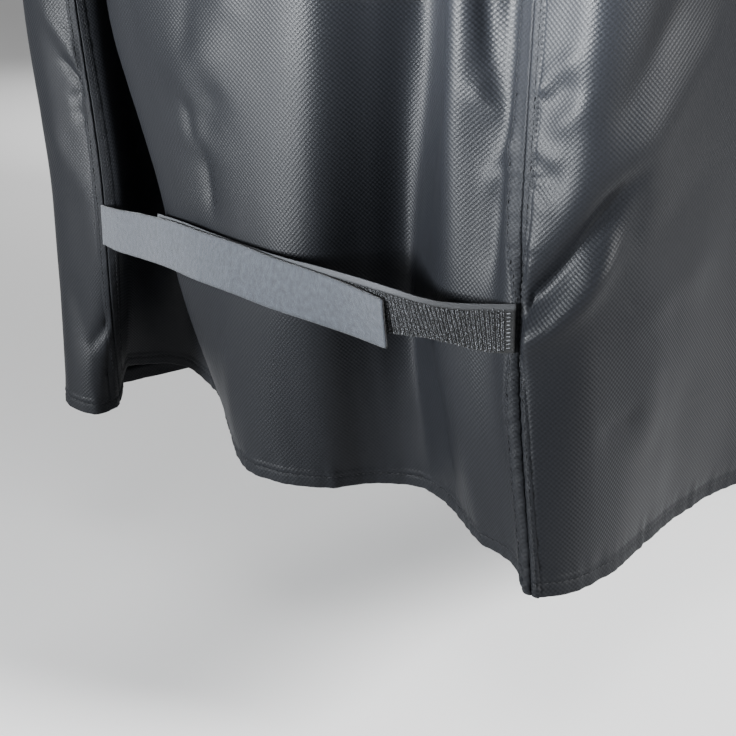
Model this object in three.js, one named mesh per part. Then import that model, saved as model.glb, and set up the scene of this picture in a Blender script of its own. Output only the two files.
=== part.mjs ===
// A fitted outdoor cover of coated weave: a top and four hanging walls, open below. A strap of hook and loop
// tape draws the two corner seams of one side together near the hem, so that side hangs in deep folds.
// Millimetres, +Z up. The origin is under the middle of the top, where the cover is held up.
// -X is the side with the strap, -Y the front.
import * as THREE from "three";

// Driving sizes
const width = 1240; // along X at the top edge
const depth = 559; // along Y at the top edge
const hemHeight = -1000; // lowest point of the hem
const topEdgeHeight = -14; // underside of the top along its edges, below its crowned middle
const clothThickness = 2;
const seamGap = 0.3;
const strapHeight = -836;
const foldHeight = -670; // height of the sections in the "high" columns
const strapPlane = -600; // X of the two drawn corners, from which the sections measure inwards
const strapWidth = 32;
const strapPinchedWidth = 29; // where a corner seam draws the tape in
const tapeThickness = 1.6;
const tapeSpacing = 2.7; // between the middles of the two tapes where they lie face to face
const strapLiftShare = 0.25; // how much of a hem's lift is felt at strapHeight
const slimmestMitre = 0.5; // keeps a sharp corner's mitre from growing past twice the cloth

const levels = [topEdgeHeight - seamGap, foldHeight, strapHeight, hemHeight];

// Each wall is a table of sections, a row for each fold or corner, in order along the wall.
// in: distance inwards from strapPlane, y: place along Y, at three heights: high, strap and hem.
// lift: how far the hem is drawn up there.
const columns = ["name", "highIn", "highY", "strapIn", "strapY", "hemIn", "hemY", "lift"];

const strapSideFolds = [
  ["backSeam", 0, 198, 0, 177, 28, 212, 8],
  ["lip", 10, 190, 10, 168, 44, 220, 34],
  ["recessBack", 27, 187, 38, 174, 64, 221, 30],
  ["recessTurn", 39, 176, 56, 170, 82, 217, 27],
  ["recessFloor", 43, 160, 66, 150, 93, 204, 25],
  ["recessFront", 36, 144, 65, 126, 91, 178, 19],
  ["tuck", 24, 139, 48, 108, 77, 143, 16],
  ["flank", 10, 144, 20, 98, 42, 92, 12],
  ["shoulder", -6, 152, -4, 98, 11, 48, 10],
  ["crestBack", -14, 112, -11, 52, 1, 22, 10],
  ["crest", -16, 62, -13, 8, 3, -2, 9],
  ["crestFront", -12, 4, -10, -28, 9, -18, 9],
  ["slope", -3, -43, 0, -46, 22, -36, 9],
  ["valleyBack", 25, -67, 27, -61, 44, -50, 10],
  ["valley", 52, -89, 51, -77, 62, -79, 11],
  ["valleyFront", 43, -115, 35, -104, 47, -118, 10],
  ["ridge", -3, -155, 5, -145, 27, -157, 9],
  ["pocket", 14, -188, 5, -180, 17, -194, 7],
  ["frontSeam", 0, -209, 0, -205, 0, -221, 0],
];

// The shoulder's place in the strap side panel, as shares of its width at the three heights. They are alike
// enough for its crest to run straight.
const heldFold = { name: "shoulder", clothShares: [0.31, 0.33, 0.42] };

const frontFolds = [
  ["seam", 0, -209, 0, -205, 0, -221, 0],
  ["diagonal", 1.5, -227, 2.5, -215, 7, -228, 0],
  ["cornerIn", 5, -247, 19, -234, 24, -236, 0],
  ["cornerOut", 29, -261, 55, -245, 62, -237.5, 0],
  ["near", 80, -264, 100, -249, 113, -230, 2],
  ["hollow", 170, -261, 175, -248, 200, -222, 4],
  ["swell", 310, -269, 310, -260, 325, -239, 2],
  ["dip", 450, -261, 450, -244, 455, -217, 5],
  ["middleSwell", 600, -270, 600, -261, 600, -243, 2],
  ["middleDip", 755, -262, 750, -246, 745, -220, 6],
  ["farSwell", 890, -270, 890, -260, 895, -244, 2],
  ["farDip", 1030, -262, 1030, -246, 1030, -222, 5],
  ["legFace", 1140, -267, 1140, -254, 1140, -241, 1],
  ["farCorner", 1206, -267, 1202, -252, 1198, -244, 0],
];

const plainSideFolds = [
  ["frontCorner", 1206, -267, 1202, -252, 1198, -244, 0],
  ["firstSwell", 1214, -205, 1216, -198, 1218, -194, 2],
  ["firstDip", 1199, -140, 1192, -134, 1178, -128, 6],
  ["middleSwell", 1212, -62, 1213, -58, 1215, -54, 1],
  ["middleDip", 1194, 22, 1186, 28, 1168, 34, 7],
  ["lastSwell", 1207, 104, 1206, 108, 1205, 114, 2],
  ["lastDip", 1191, 186, 1184, 182, 1169, 184, 5],
  ["backCorner", 1194, 267, 1188, 253, 1182, 246, 0],
];

const backFolds = [
  ["farCorner", 1194, 267, 1188, 253, 1182, 246, 0],
  ["legFace", 1130, 268, 1125, 255, 1120, 245, 1],
  ["farDip", 960, 264, 965, 250, 970, 236, 5],
  ["farSwell", 730, 271, 730, 260, 735, 249, 2],
  ["dip", 500, 266, 500, 252, 505, 238, 6],
  ["swell", 300, 272, 300, 261, 300, 251, 3],
  ["hollow", 140, 269, 140, 252, 140, 244, 6],
  ["cornerOut", 40, 273, 40, 256, 35, 253, 8],
  ["corner", 11, 270, 9, 251, 8, 250, 8],
  ["edge", 0, 262, 0, 241, 0, 241, 8],
  ["strip", -6, 243, -4, 224, -1, 226, 6],
  ["stripEnd", -5, 221, -4, 204, 4, 211, 5],
  ["curl", -3, 208, -3, 188, 17, 206, 6],
  ["seam", 0, 198, 0, 177, 28, 212, 8],
];

// Middle line of each tape, a row for each section. height is from strapHeight, tilt in degrees leans the
// upper edge inwards.
const tapeColumns = ["in", "y", "height", "tilt", "width"];

const loopTapePath = [
  [-1.2, 176.8, 0, 0, strapPinchedWidth],
  [-7.5, 151, 1, 0, 31],
  [-12.5, 116, 3, 2, strapWidth],
  [-19, 76, 4.5, 8, strapWidth],
  [-23.5, 41, 3.2, 14, strapWidth],
  [-24.5, 6, 1.5, 16, strapWidth],
  [-23.5, -29, -2, 10, strapWidth],
  [-20.5, -64, -5, 4, strapWidth],
  [-17, -92, -8.5, -3, strapWidth],
  [-15.5, -118, -12, -8, strapWidth],
];

const hookTapePath = [
  [-3.6, -205.6, 0, 0, strapPinchedWidth],
  [-6.5, -191, -2.5, -10, 31],
  [-9, -176, -4, -20, strapWidth],
  [-12, -160, -4.4, -26, strapWidth],
  [-14, -143, -4, -25, strapWidth],
  [-15, -125, -4, -16, strapWidth],
  [-15.5, -112, -4.2, -9, strapWidth],
  [-16.5, -92, -3.6, -3, strapWidth],
  [-20.5, -64, -1.8, 4, strapWidth],
  [-23.5, -29, -0.5, 10, strapWidth],
  [-24.5, 6, 2, 16, strapWidth],
  [-23.5, 41, 4.5, 14, strapWidth],
  [-19, 76, 6, 8, strapWidth],
  [-15.4, 99, 6, 4, strapWidth],
];

// Mesh density
const wallRows = 15;
const upperRows = 5; // of those, above foldHeight
const strapSideCells = { along: 50, firstCell: 1 };
const longWallCells = { along: 34, firstCell: 0.4 };
const plainSideCells = { along: 16, firstCell: 1 };
const topCells = { along: 14, across: 8 };
const tapeCellLength = 13;
const curveDivisions = 40; // length samples between two sections of a wall

// Materials
const weaveCloth = new THREE.MeshStandardMaterial({ color: 0x3a3c40, roughness: 0.55, metalness: 0 });
const loopPile = new THREE.MeshStandardMaterial({ color: 0x7b838d, roughness: 0.95, metalness: 0 });
const hookPlastic = new THREE.MeshStandardMaterial({ color: 0x2e3034, roughness: 0.5, metalness: 0 });

function named(names, row) {
  return Object.fromEntries(names.map((name, i) => [name, row[i]]));
}

// A closed solid between two matching grids of points, each grid[row][column].
function solidBetween(outer, inner) {
  const rows = outer.length;
  const cols = outer[0].length;
  const positions = [];
  for (const grid of [outer, inner]) {
    for (const row of grid) {
      for (const p of row) positions.push(p.x, p.y, p.z);
    }
  }
  const out = (r, c) => r * cols + c;
  const back = (r, c) => rows * cols + r * cols + c;
  const index = [];
  const quad = (a, b, c, d) => index.push(a, b, c, a, c, d);
  for (let r = 0; r + 1 < rows; r++) {
    for (let c = 0; c + 1 < cols; c++) {
      quad(out(r, c), out(r + 1, c), out(r + 1, c + 1), out(r, c + 1));
      quad(back(r, c), back(r, c + 1), back(r + 1, c + 1), back(r + 1, c));
    }
    quad(out(r, 0), back(r, 0), back(r + 1, 0), out(r + 1, 0));
    quad(out(r, cols - 1), out(r + 1, cols - 1), back(r + 1, cols - 1), back(r, cols - 1));
  }
  for (let c = 0; c + 1 < cols; c++) {
    quad(out(0, c), out(0, c + 1), back(0, c + 1), back(0, c));
    quad(out(rows - 1, c), back(rows - 1, c), back(rows - 1, c + 1), out(rows - 1, c + 1));
  }
  const geometry = new THREE.BufferGeometry();
  geometry.setAttribute("position", new THREE.Float32BufferAttribute(positions, 3));
  geometry.setIndex(index);
  geometry.computeVertexNormals();
  return geometry;
}

// Slope at each knot of a curve that doesn't overshoot between its knots.
function knotSlopes(at, value) {
  const step = at.slice(1).map((a, i) => a - at[i]);
  const rise = step.map((h, i) => (value[i + 1] - value[i]) / h);
  return at.map((_, i) => {
    if (i === 0) return rise[0] * 0.5;
    if (i === at.length - 1) return rise[i - 1];
    const before = rise[i - 1];
    const after = rise[i];
    if (before * after <= 0) return 0;
    const w1 = 2 * step[i] + step[i - 1];
    const w2 = step[i] + 2 * step[i - 1];
    return (w1 + w2) / (w1 / before + w2 / after);
  });
}

function curveAt(at, value, slope, x) {
  let i = 0;
  while (i + 2 < at.length && x < at[i + 1]) i++;
  const h = at[i + 1] - at[i];
  const t = (x - at[i]) / h;
  const t2 = t * t;
  const t3 = t2 * t;
  return (
    value[i] * (2 * t3 - 3 * t2 + 1) +
    slope[i] * h * (t3 - 2 * t2 + t) +
    value[i + 1] * (3 * t2 - 2 * t3) +
    slope[i + 1] * h * (t3 - t2)
  );
}

// How far along a curve, as a share of its length, the point of one of its rows lies.
function lengthShare(curve, row, rowCount) {
  const lengths = curve.getLengths();
  const place = (row / (rowCount - 1)) * (lengths.length - 1);
  const i = Math.min(lengths.length - 2, Math.floor(place));
  return THREE.MathUtils.lerp(lengths[i], lengths[i + 1], place - i) / lengths.at(-1);
}

// The plan curve of one wall at one of the levels, through its fold rows.
function planCurve(rows, inColumn, yColumn) {
  const points = rows.map((row) => new THREE.Vector3(strapPlane + row[inColumn], row[yColumn], 0));
  const curve = new THREE.CatmullRomCurve3(points, false, "centripetal");
  curve.arcLengthDivisions = curveDivisions * points.length;
  return curve;
}

function makeWall(name, foldTable, topStart, topEnd, cells) {
  const rows = foldTable.map((row) => named(columns, row));
  const curves = [
    new THREE.LineCurve3(topStart, topEnd),
    planCurve(rows, "highIn", "highY"),
    planCurve(rows, "strapIn", "strapY"),
    planCurve(rows, "hemIn", "hemY"),
  ];
  const shares = [];
  for (let i = 0; i <= cells.along; i++) {
    const u = i / cells.along;
    const eased = cells.firstCell * u + (1 - cells.firstCell) * u * u;
    shares.push(cells.strapAtEnd ? 1 - eased : eased);
  }
  if (cells.strapAtEnd) shares.reverse();
  const held = rows.findIndex((row) => row.name === heldFold.name);
  const heldOn = curves.map((curve, level) => held > 0 && level > 0 && lengthShare(curve, held, rows.length));
  const shareOn = (level, share) => {
    if (!heldOn[level]) return share;
    const clothShare = heldFold.clothShares[level - 1];
    return share < clothShare
      ? (share / clothShare) * heldOn[level]
      : 1 - ((1 - share) / (1 - clothShare)) * (1 - heldOn[level]);
  };
  const liftAt = (u) => {
    const place = u * (rows.length - 1);
    const i = Math.min(rows.length - 2, Math.floor(place));
    return THREE.MathUtils.lerp(rows[i].lift, rows[i + 1].lift, place - i);
  };
  const middle = [];
  for (let r = 0; r <= wallRows; r++) middle.push([]);
  for (const share of shares) {
    const points = curves.map((curve, level) => curve.getPointAt(shareOn(level, share)));
    const lift = liftAt(curves[3].getUtoTmapping(shareOn(3, share)));
    const heights = [levels[0], levels[1], levels[2] + lift * strapLiftShare, levels[3] + lift];
    const xs = points.map((p) => p.x);
    const ys = points.map((p) => p.y);
    const xSlope = knotSlopes(heights, xs);
    const ySlope = knotSlopes(heights, ys);
    for (let r = 0; r <= wallRows; r++) {
      const z =
        r < upperRows
          ? THREE.MathUtils.lerp(heights[0], heights[1], r / upperRows)
          : THREE.MathUtils.lerp(heights[1], heights[3], (r - upperRows) / (wallRows - upperRows));
      middle[r].push(
        new THREE.Vector3(curveAt(heights, xs, xSlope, z), curveAt(heights, ys, ySlope, z), z),
      );
    }
  }
  return { name, middle };
}

// Outward direction in plan at each point of one row.
function rowNormals(row) {
  return row.map((_, i) => {
    const a = row[Math.max(0, i - 1)];
    const b = row[Math.min(row.length - 1, i + 1)];
    return new THREE.Vector3(b.y - a.y, a.x - b.x, 0).normalize();
  });
}

// Gives a wall its thickness. At each end it is mitred against the neighbouring wall, half the seam gap away.
function thickenWall(wall, before, after) {
  const half = clothThickness / 2;
  const outer = [];
  const inner = [];
  wall.middle.forEach((row, r) => {
    const normals = rowNormals(row);
    const last = row.length - 1;
    const endsOf = [
      { i: 0, step: 1, other: rowNormals(before.middle[r]).at(-1) },
      { i: last, step: -1, other: rowNormals(after.middle[r])[0] },
    ];
    const place = row.map((p) => p.clone());
    const offset = normals.map((n) => n.clone().multiplyScalar(half));
    for (const { i, step, other } of endsOf) {
      const mitre = normals[i].clone().add(other).normalize();
      offset[i] = mitre.clone().multiplyScalar(half / Math.max(slimmestMitre, mitre.dot(normals[i])));
      const inwards = row[i + step].clone().sub(row[i]).setZ(0);
      inwards.addScaledVector(mitre, -inwards.dot(mitre)).normalize();
      place[i].addScaledVector(inwards, seamGap / 2);
    }
    outer.push(place.map((p, i) => p.clone().add(offset[i])));
    inner.push(place.map((p, i) => p.clone().sub(offset[i])));
  });
  return solidBetween(outer, inner);
}

function topPanelGeometry() {
  const halfX = width / 2 + clothThickness / 2;
  const halfY = depth / 2 + clothThickness / 2;
  const outer = [];
  const inner = [];
  for (let r = 0; r <= topCells.across; r++) {
    const v = 1 - (2 * r) / topCells.across;
    outer.push([]);
    inner.push([]);
    for (let c = 0; c <= topCells.along; c++) {
      const u = (2 * c) / topCells.along - 1;
      const rise = (1 - u ** 4) * (1 - v ** 4);
      const z = topEdgeHeight * (1 - rise);
      inner[r].push(new THREE.Vector3(u * halfX, v * halfY, z));
      outer[r].push(new THREE.Vector3(u * halfX, v * halfY, z + clothThickness));
    }
  }
  return solidBetween(outer, inner);
}

// A flat tape swept along its table. side is -1 for the outer tape and +1 for the inner one.
function tapeGeometry(path, side) {
  const rows = path.map((row) => named(tapeColumns, row));
  const curve = new THREE.CatmullRomCurve3(
    rows.map((row) => new THREE.Vector3(strapPlane + row.in, row.y, strapHeight + row.height)),
    false,
    "centripetal",
  );
  const cells = Math.round(curve.getLength() / tapeCellLength);
  const outerFace = [];
  const innerFace = [];
  const halfWidths = [];
  for (let i = 0; i <= cells; i++) {
    const t = i / cells;
    const point = curve.getPoint(t);
    const along = curve.getTangent(t).setZ(0).normalize();
    const outwards = new THREE.Vector3(along.y, -along.x, 0);
    if (outwards.x > 0) outwards.negate();
    const place = t * (rows.length - 1);
    const k = Math.min(rows.length - 2, Math.floor(place));
    const mix = (key) => THREE.MathUtils.lerp(rows[k][key], rows[k + 1][key], place - k);
    const tilt = THREE.MathUtils.degToRad(mix("tilt"));
    const up = new THREE.Vector3(0, 0, Math.cos(tilt)).addScaledVector(outwards, -Math.sin(tilt));
    const face = outwards.clone().multiplyScalar(Math.cos(tilt)).setZ(Math.sin(tilt));
    const middle = point.clone().addScaledVector(face, (-side * tapeSpacing) / 2);
    outerFace.push(middle.clone().addScaledVector(face, tapeThickness / 2));
    innerFace.push(middle.clone().addScaledVector(face, -tapeThickness / 2));
    halfWidths.push(up.multiplyScalar(mix("width") / 2));
  }
  // Upper and lower edge of a face, both from the back corner to the front one.
  const startsAtFront = rows[0].y < rows.at(-1).y;
  const edges = (line) => {
    const grid = [
      line.map((p, i) => p.clone().add(halfWidths[i])),
      line.map((p, i) => p.clone().sub(halfWidths[i])),
    ];
    return startsAtFront ? grid.map((row) => row.reverse()) : grid;
  };
  return solidBetween(edges(outerFace), edges(innerFace));
}

const corner = (x, y) => new THREE.Vector3((x * width) / 2, (y * depth) / 2, 0);
const walls = [
  makeWall("strap_side_panel", strapSideFolds, corner(-1, 1), corner(-1, -1), strapSideCells),
  makeWall("front_panel", frontFolds, corner(-1, -1), corner(1, -1), longWallCells),
  makeWall("plain_side_panel", plainSideFolds, corner(1, -1), corner(1, 1), plainSideCells),
  makeWall("back_panel", backFolds, corner(1, 1), corner(-1, 1), { ...longWallCells, strapAtEnd: true }),
];

const cover = new THREE.Group();

function addPiece(name, geometry, material) {
  const mesh = new THREE.Mesh(geometry, material);
  mesh.name = name;
  cover.add(mesh);
}

addPiece("top_panel", topPanelGeometry(), weaveCloth);
walls.forEach((wall, i) => {
  const before = walls[(i + walls.length - 1) % walls.length];
  const after = walls[(i + 1) % walls.length];
  addPiece(wall.name, thickenWall(wall, before, after), weaveCloth);
});
addPiece("loop_strap", tapeGeometry(loopTapePath, -1), loopPile);
addPiece("hook_strap", tapeGeometry(hookTapePath, 1), hookPlastic);

export default cover;
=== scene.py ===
import math

import bpy
import numpy as np
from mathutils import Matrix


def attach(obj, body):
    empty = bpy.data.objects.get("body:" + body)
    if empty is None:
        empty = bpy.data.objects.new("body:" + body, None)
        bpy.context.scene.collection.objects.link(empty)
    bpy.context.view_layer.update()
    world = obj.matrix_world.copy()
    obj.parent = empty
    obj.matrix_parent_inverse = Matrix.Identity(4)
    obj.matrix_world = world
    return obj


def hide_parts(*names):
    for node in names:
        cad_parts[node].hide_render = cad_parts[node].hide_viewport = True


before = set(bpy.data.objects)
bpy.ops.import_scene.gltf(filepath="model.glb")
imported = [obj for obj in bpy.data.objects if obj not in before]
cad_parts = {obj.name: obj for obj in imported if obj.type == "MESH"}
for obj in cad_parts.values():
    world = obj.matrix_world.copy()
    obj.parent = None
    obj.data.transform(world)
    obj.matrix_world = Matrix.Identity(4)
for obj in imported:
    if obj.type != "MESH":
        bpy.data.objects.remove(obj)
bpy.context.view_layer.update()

# The looks of a fitted outdoor cover: five panels of coated weave sewn at their edges, hemmed below, and a
# strap of hook and loop tape that draws one side into deep folds. Sizes are in mm until a mesh is made.
MM = 0.001

# Sizes that the panels share with their solids
WIDTH = 1240
DEPTH = 559
HEM_HEIGHT = -1000
TOP_EDGE_HEIGHT = -14
STRAP_HEIGHT = -836
FOLD_HEIGHT = -670
STRAP_PLANE = -600
STRAP_WIDTH = 32
STRAP_PINCHED_WIDTH = 29
STRAP_EASED_WIDTH = 31  # just off its seam
SEAM_GAP = 0.3
TAPE_SPACING = 2.7  # between the middles of the two tapes
LOOP_THICKNESS = 1.6
HOOK_GROUND = 0.8
STRAP_LIFT_SHARE = 0.25  # of the hem's lift, at the strap
LEVELS = [TOP_EDGE_HEIGHT - SEAM_GAP, FOLD_HEIGHT, STRAP_HEIGHT, HEM_HEIGHT]

# Sizes of the sewing
CLOTH = 0.8  # thickness of the weave with its coating
SEAM_TURN = 1.5  # where a panel begins to turn into its seam
SEAM_ALLOWANCE = 6
BAND = 7.2  # from a seam to the edge of its topstitched band
WIDE_BAND = 10.5  # on the strap side of the front corner
NARROW_BAND = 5.4  # and on the front panel beside it
BAND_RISE = 0.9
STITCH_INSET = 1.4  # from a band's edge to its stitches
STRIP_RISE = 4  # how far the strap side swells beside that seam
SLIT_DEPTH = 2.4  # how far the front corner's seam sinks in below SLIT_TOP, where the strap drags at it
SLIT_TOP = -772
HEM_TURN = 0.65  # radius of the turned edge
HEM_FLAP = 12
HEM_STITCH = 8.5  # from the hem's edge to its stitches
STITCH_PITCH = 4.2
STITCH_LENGTH = 3.2
STITCH_THICKNESS = 0.7
STITCH_LIFT = 0.12  # how far the middle of a stitch lies off the cloth
TURN_PLACES = np.array([SEAM_ALLOWANCE, SEAM_ALLOWANCE / 2, SEAM_TURN, 0.7, 0, -0.8])  # rows of a turned edge

# Sizes of the hook tape, along it and across it
HOOK_PITCH = 3.1  # from one pair of rows to the next
HOOK_PAIR = 1.2  # between the two rows of a pair
HOOK_SPACING = 1.5
HOOK_STEM = 0.42
HOOK_HEIGHT = 1.0
HOOK_RIM = 3.4  # plain edge of the tape above its hooks
HOOK_FOOT = 1.6  # and below them
HOOK_STRAY = 0.35
STRAP_SEWN = 4  # from the corner seam to the stitches across the tape
STRAP_STITCH_PITCH = 2.3
TAPE_CELLS = 200

# Each wall is a table of sections, a row for each fold or corner, in order along the wall. The first row of
# the next wall ends it. in: distance inwards from STRAP_PLANE, y: place along Y, at three heights: high,
# strap and hem. lift: how far the hem is drawn up there.
COLUMNS = ["name", "high_in", "high_y", "strap_in", "strap_y", "hem_in", "hem_y", "lift"]

STRAP_SIDE_FOLDS = [
    ["back_seam", 0, 198, 0, 177, 28, 212, 8],
    ["lip", 10, 190, 10, 168, 44, 220, 34],
    ["recess_back", 27, 187, 38, 174, 64, 221, 30],
    ["recess_turn", 39, 176, 56, 170, 82, 217, 27],
    ["recess_floor", 43, 160, 66, 150, 93, 204, 25],
    ["recess_front", 36, 144, 65, 126, 91, 178, 19],
    ["tuck", 24, 139, 48, 108, 77, 143, 16],
    ["flank", 10, 144, 20, 98, 42, 92, 12],
    ["shoulder", -6, 152, -4, 98, 11, 48, 10],
    ["crest_back", -14, 112, -11, 52, 1, 22, 10],
    ["crest", -16, 62, -13, 8, 3, -2, 9],
    ["crest_front", -12, 4, -10, -28, 9, -18, 9],
    ["slope", -3, -43, 0, -46, 22, -36, 9],
    ["valley_back", 25, -67, 27, -61, 44, -50, 10],
    ["valley", 52, -89, 51, -77, 62, -79, 11],
    ["valley_front", 43, -115, 35, -104, 47, -118, 10],
    ["ridge", -3, -155, 5, -145, 27, -157, 9],
    ["pocket", 14, -188, 5, -180, 17, -194, 7],
]

# The share of the panel's width at which the strap side's shoulder lies, so that its crest runs straight
HELD_FOLD = "shoulder"
HELD_SHARES = {"high": 0.31, "strap": 0.33, "hem": 0.42}

FRONT_FOLDS = [
    ["seam", 0, -209, 0, -205, 0, -221, 0],
    ["diagonal", 1.5, -227, 2.5, -215, 7, -228, 0],
    ["corner_in", 5, -247, 19, -234, 24, -236, 0],
    ["corner_out", 29, -261, 55, -245, 62, -237.5, 0],
    ["near", 80, -264, 100, -249, 113, -230, 2],
    ["hollow", 170, -261, 175, -248, 200, -222, 4],
    ["swell", 310, -269, 310, -260, 325, -239, 2],
    ["dip", 450, -261, 450, -244, 455, -217, 5],
    ["middle_swell", 600, -270, 600, -261, 600, -243, 2],
    ["middle_dip", 755, -262, 750, -246, 745, -220, 6],
    ["far_swell", 890, -270, 890, -260, 895, -244, 2],
    ["far_dip", 1030, -262, 1030, -246, 1030, -222, 5],
    ["far_flat", 1140, -267, 1140, -254, 1140, -241, 1],
]

PLAIN_SIDE_FOLDS = [
    ["front_corner", 1206, -267, 1202, -252, 1198, -244, 0],
    ["first_swell", 1214, -205, 1216, -198, 1218, -194, 2],
    ["first_dip", 1199, -140, 1192, -134, 1178, -128, 6],
    ["middle_swell", 1212, -62, 1213, -58, 1215, -54, 1],
    ["middle_dip", 1194, 22, 1186, 28, 1168, 34, 7],
    ["last_swell", 1207, 104, 1206, 108, 1205, 114, 2],
    ["last_dip", 1191, 186, 1184, 182, 1169, 184, 5],
]

BACK_FOLDS = [
    ["far_corner", 1194, 267, 1188, 253, 1182, 246, 0],
    ["far_flat", 1130, 268, 1125, 255, 1120, 245, 1],
    ["far_dip", 960, 264, 965, 250, 970, 236, 5],
    ["far_swell", 730, 271, 730, 260, 735, 249, 2],
    ["dip", 500, 266, 500, 252, 505, 238, 6],
    ["swell", 300, 272, 300, 261, 300, 251, 3],
    ["hollow", 140, 269, 140, 252, 140, 244, 6],
    ["corner_out", 40, 273, 40, 256, 35, 253, 8],
    ["corner", 11, 270, 9, 251, 8, 250, 8],
    ["edge", 0, 262, 0, 241, 0, 241, 8],
    ["strip", -6, 243, -4, 224, -1, 226, 6],
    ["strip_end", -5, 221, -4, 204, 4, 211, 5],
    ["curl", -3, 208, -3, 188, 17, 206, 6],
]

# Middle line of each tape, from its seam on. height is from STRAP_HEIGHT, and tilt in degrees leans the upper
# edge inwards.
TAPE_COLUMNS = ["in", "y", "height", "tilt"]

LOOP_TAPE = [
    [-1.2, 176.8, 0, 0],
    [-7.5, 151, 1, 0],
    [-12.5, 116, 3, 2],
    [-19, 76, 4.5, 8],
    [-23.5, 41, 3.2, 14],
    [-24.5, 6, 1.5, 16],
    [-23.5, -29, -2, 10],
    [-20.5, -64, -5, 4],
    [-17, -92, -8.5, -3],
    [-15.5, -118, -12, -8],
]

HOOK_TAPE = [
    [-3.6, -205.6, 0, 0],
    [-6.5, -191, -2.5, -10],
    [-9, -176, -4, -20],
    [-12, -160, -4.4, -26],
    [-14, -143, -4, -25],
    [-15, -125, -4, -16],
    [-15.5, -112, -4.2, -9],
    [-16.5, -92, -3.6, -3],
    [-20.5, -64, -1.8, 4],
    [-23.5, -29, -0.5, 10],
    [-24.5, 6, 2, 16],
    [-23.5, 41, 4.5, 14],
    [-19, 76, 6, 8],
    [-15.4, 99, 6, 4],
]


# Camera, floor and light

CAMERA_PLACE = (-1.2339, -0.6870, -0.5951)
CAMERA_AZIMUTH = -46.65
CAMERA_ELEVATION = 18.5
CAMERA_LENS = 71.46
FLOOR_HEIGHT = -1.113
COOL = (0.94, 0.97, 1)


def add_camera():
    bpy.ops.object.camera_add(
        location=CAMERA_PLACE,
        rotation=(math.radians(90 - CAMERA_ELEVATION), 0, math.radians(CAMERA_AZIMUTH)),
    )
    camera = bpy.context.object
    camera.data.lens = CAMERA_LENS
    camera.data.sensor_width = 36
    camera.data.clip_start = 0.01
    bpy.context.scene.camera = camera


def add_floor():
    bpy.ops.mesh.primitive_plane_add(size=30, location=(0, 0, FLOOR_HEIGHT))
    floor = bpy.context.object
    floor.name = "floor"
    floor.data.materials.append(floor_paint())


def add_light(name, place, aim, size, power, spread=180, colour=(1, 1, 1)):
    bpy.ops.object.light_add(type="AREA", location=place)
    light = bpy.context.object
    light.name = name
    light.data.shape = "DISK"
    light.data.size = size
    light.data.energy = power
    light.data.spread = math.radians(spread)
    light.data.color = colour
    light.visible_camera = False
    reach = [a - p for a, p in zip(aim, place)]
    light.rotation_euler = (
        math.atan2(math.hypot(reach[0], reach[1]), -reach[2]),
        0,
        math.atan2(reach[1], reach[0]) - math.pi / 2,
    )


def light_studio():
    world = bpy.data.worlds.new("studio")
    bpy.context.scene.world = world
    world.use_nodes = True
    background = world.node_tree.nodes["Background"]
    background.inputs["Color"].default_value = (1, 1, 1, 1)
    background.inputs["Strength"].default_value = 0.3
    add_light("key", (-3.53, 0.96, -0.5), (-0.6, -0.05, -0.3), size=1.1, power=48, spread=42, colour=COOL)
    add_light("corner", (-3.7, -0.16, -0.6), (-0.6, -0.3, -0.3), size=0.5, power=50, spread=14, colour=COOL)
    add_light("side", (0.53, -3.15, -0.45), (-0.6, -0.05, -0.42), size=1.0, power=21, spread=70)
    add_light("high_side", (0.95, -2.74, 0.6), (-0.5, -0.2, -0.5), size=1.0, power=49, spread=70)
    add_light("overhead", (-1.6, -1.2, 3.2), (-0.7, -0.3, -1.1), size=2.5, power=50)
    add_light("back_fill", (3.1, 1.9, -0.2), (0.2, 0.2, -0.5), size=1.6, power=110, spread=120)


# Materials

def new_material(name, roughness, specular, sheen=0):
    material = bpy.data.materials.new(name)
    material.use_nodes = True
    shader = material.node_tree.nodes["Principled BSDF"]
    shader.inputs["Roughness"].default_value = roughness
    shader.inputs["Specular IOR Level"].default_value = specular
    shader.inputs["Sheen Weight"].default_value = sheen
    return material, material.node_tree


def feed(tree, value, socket):
    """Links a value to one of the shader's sockets."""
    tree.links.new(value, tree.nodes["Principled BSDF"].inputs[socket])


def add_node(tree, kind, inputs, **settings):
    """The outputs of a new node. Each of its inputs is a plain value or another node's output."""
    node = tree.nodes.new("ShaderNode" + kind)
    for key, value in settings.items():
        setattr(node, key, value)
    for key, value in inputs.items():
        if isinstance(value, bpy.types.NodeSocket):
            tree.links.new(value, node.inputs[key])
        else:
            node.inputs[key].default_value = value
    return node.outputs


def math_node(tree, operation, first, second=0):
    return add_node(tree, "Math", {0: first, 1: second}, operation=operation)[0]


def times(tree, first, second):
    return math_node(tree, "MULTIPLY", first, second)


def plus(tree, first, second):
    return math_node(tree, "ADD", first, second)


def cloth_place(tree):
    """The piece's own place in its cloth, in m, whole and as its two parts."""
    place = add_node(tree, "UVMap", {}, uv_map="cloth")["UV"]
    parts = add_node(tree, "SeparateXYZ", {0: place})
    return place, parts["X"], parts["Y"]


def object_place(tree):
    return add_node(tree, "TexCoord", {})["Object"]


def noise(tree, place, scale, detail=2, roughness=0.5):
    """Uneven grey between 0 and 1, its scale in waves to the metre."""
    inputs = {"Vector": place, "Scale": scale, "Detail": detail, "Roughness": roughness}
    return add_node(tree, "TexNoise", inputs)["Fac"]


def ramp(tree, value, dark, light, low=0.3, high=0.7):
    """dark where the value is low or less, light where it is high or more, and even between them."""
    inputs = {"Value": value, "From Min": low, "From Max": high, "To Min": dark, "To Max": light}
    return add_node(tree, "MapRange", inputs)["Result"]


def tint(tree, colour, amount):
    """A colour multiplied by a grey value."""
    return add_node(tree, "VectorMath", {0: colour, "Scale": amount}, operation="SCALE")["Vector"]


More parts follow.
